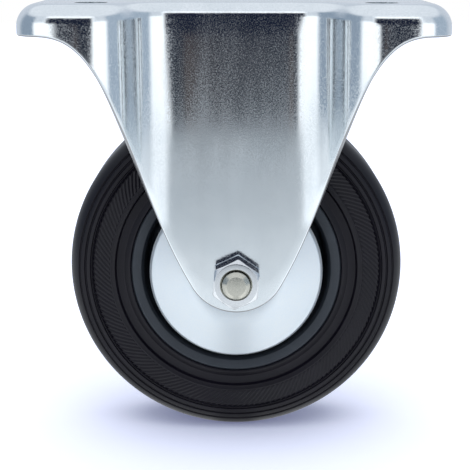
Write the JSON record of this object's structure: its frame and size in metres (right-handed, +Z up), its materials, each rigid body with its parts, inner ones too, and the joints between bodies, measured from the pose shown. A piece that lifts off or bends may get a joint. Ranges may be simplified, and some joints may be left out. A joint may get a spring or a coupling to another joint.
{
  "type": "fixed castor",
  "caption": "Fixed castor: a pressed steel fork with a plate and two legs carries a rubber-tyred wheel on a bolted axle.",
  "frame": {"origin": "middle of the plate's top face, which is the mounting face, at the centre of the four fixing holes", "axes": "+Z up out of the mounting face, +X along the rolling direction, +Y along the axle with the nut at -Y and the bolt head at +Y"},
  "size_m": [0.12, 0.084, 0.1295],
  "materials": {
    "fork_zinc": "bright zinc plate with a faint blue tint and fine drawing grain",
    "bolt_zinc": "bright zinc plate, slightly worn",
    "guard_zinc": "satin zinc plate",
    "bearing_steel": "ground steel, greased",
    "rim_plastic": "moulded dark grey plastic, fine texture",
    "tyre_rubber": "solid black rubber, satin from the mould",
    "cage_plastic": "moulded natural plastic"
  },
  "bodies": {
    "fork": {"fork": "fork_zinc", "axle_bolt": "bolt_zinc", "axle_nut": "bolt_zinc", "axle_tube": "bearing_steel", "thread_guard_front": "guard_zinc", "thread_guard_back": "guard_zinc"},
    "wheel": {"wheel_core": "rim_plastic", "tyre": "tyre_rubber"},
    "cage": {"roller_cage": "cage_plastic"},
    "roller_1": {"roller_1": "bearing_steel"},
    "roller_2": {"roller_2": "bearing_steel"},
    "roller_3": {"roller_3": "bearing_steel"},
    "roller_4": {"roller_4": "bearing_steel"},
    "roller_5": {"roller_5": "bearing_steel"},
    "roller_6": {"roller_6": "bearing_steel"},
    "roller_7": {"roller_7": "bearing_steel"},
    "roller_8": {"roller_8": "bearing_steel"}
  },
  "joints": [
    {"name": "wheel_spin", "type": "hinge", "parent": "fork", "child": "wheel", "pos_m": [0, 0, -0.0795], "axis": [0, 1, 0], "continuous": true},
    {"name": "cage_spin", "type": "hinge", "parent": "fork", "child": "cage", "pos_m": [0, 0, -0.0795], "axis": [0, 1, 0], "continuous": true},
    {"name": "roller_1_spin", "type": "hinge", "parent": "cage", "child": "roller_1", "pos_m": [0.008, 0, -0.0795], "axis": [0, 1, 0], "continuous": true},
    {"name": "roller_2_spin", "type": "hinge", "parent": "cage", "child": "roller_2", "pos_m": [0.00566, 0, -0.08516], "axis": [0, 1, 0], "continuous": true},
    {"name": "roller_3_spin", "type": "hinge", "parent": "cage", "child": "roller_3", "pos_m": [0, 0, -0.0875], "axis": [0, 1, 0], "continuous": true},
    {"name": "roller_4_spin", "type": "hinge", "parent": "cage", "child": "roller_4", "pos_m": [-0.00566, 0, -0.08516], "axis": [0, 1, 0], "continuous": true},
    {"name": "roller_5_spin", "type": "hinge", "parent": "cage", "child": "roller_5", "pos_m": [-0.008, 0, -0.0795], "axis": [0, 1, 0], "continuous": true},
    {"name": "roller_6_spin", "type": "hinge", "parent": "cage", "child": "roller_6", "pos_m": [-0.00566, 0, -0.07384], "axis": [0, 1, 0], "continuous": true},
    {"name": "roller_7_spin", "type": "hinge", "parent": "cage", "child": "roller_7", "pos_m": [0, 0, -0.0715], "axis": [0, 1, 0], "continuous": true},
    {"name": "roller_8_spin", "type": "hinge", "parent": "cage", "child": "roller_8", "pos_m": [0.00566, 0, -0.07384], "axis": [0, 1, 0], "continuous": true}
  ],
  "couplings": [
    {"joint": "cage_spin", "follows": "wheel_spin", "ratio": 0.625},
    {"joint": "roller_1_spin", "follows": "wheel_spin", "ratio": 1.875},
    {"joint": "roller_2_spin", "follows": "wheel_spin", "ratio": 1.875},
    {"joint": "roller_3_spin", "follows": "wheel_spin", "ratio": 1.875},
    {"joint": "roller_4_spin", "follows": "wheel_spin", "ratio": 1.875},
    {"joint": "roller_5_spin", "follows": "wheel_spin", "ratio": 1.875},
    {"joint": "roller_6_spin", "follows": "wheel_spin", "ratio": 1.875},
    {"joint": "roller_7_spin", "follows": "wheel_spin", "ratio": 1.875},
    {"joint": "roller_8_spin", "follows": "wheel_spin", "ratio": 1.875}
  ]
}
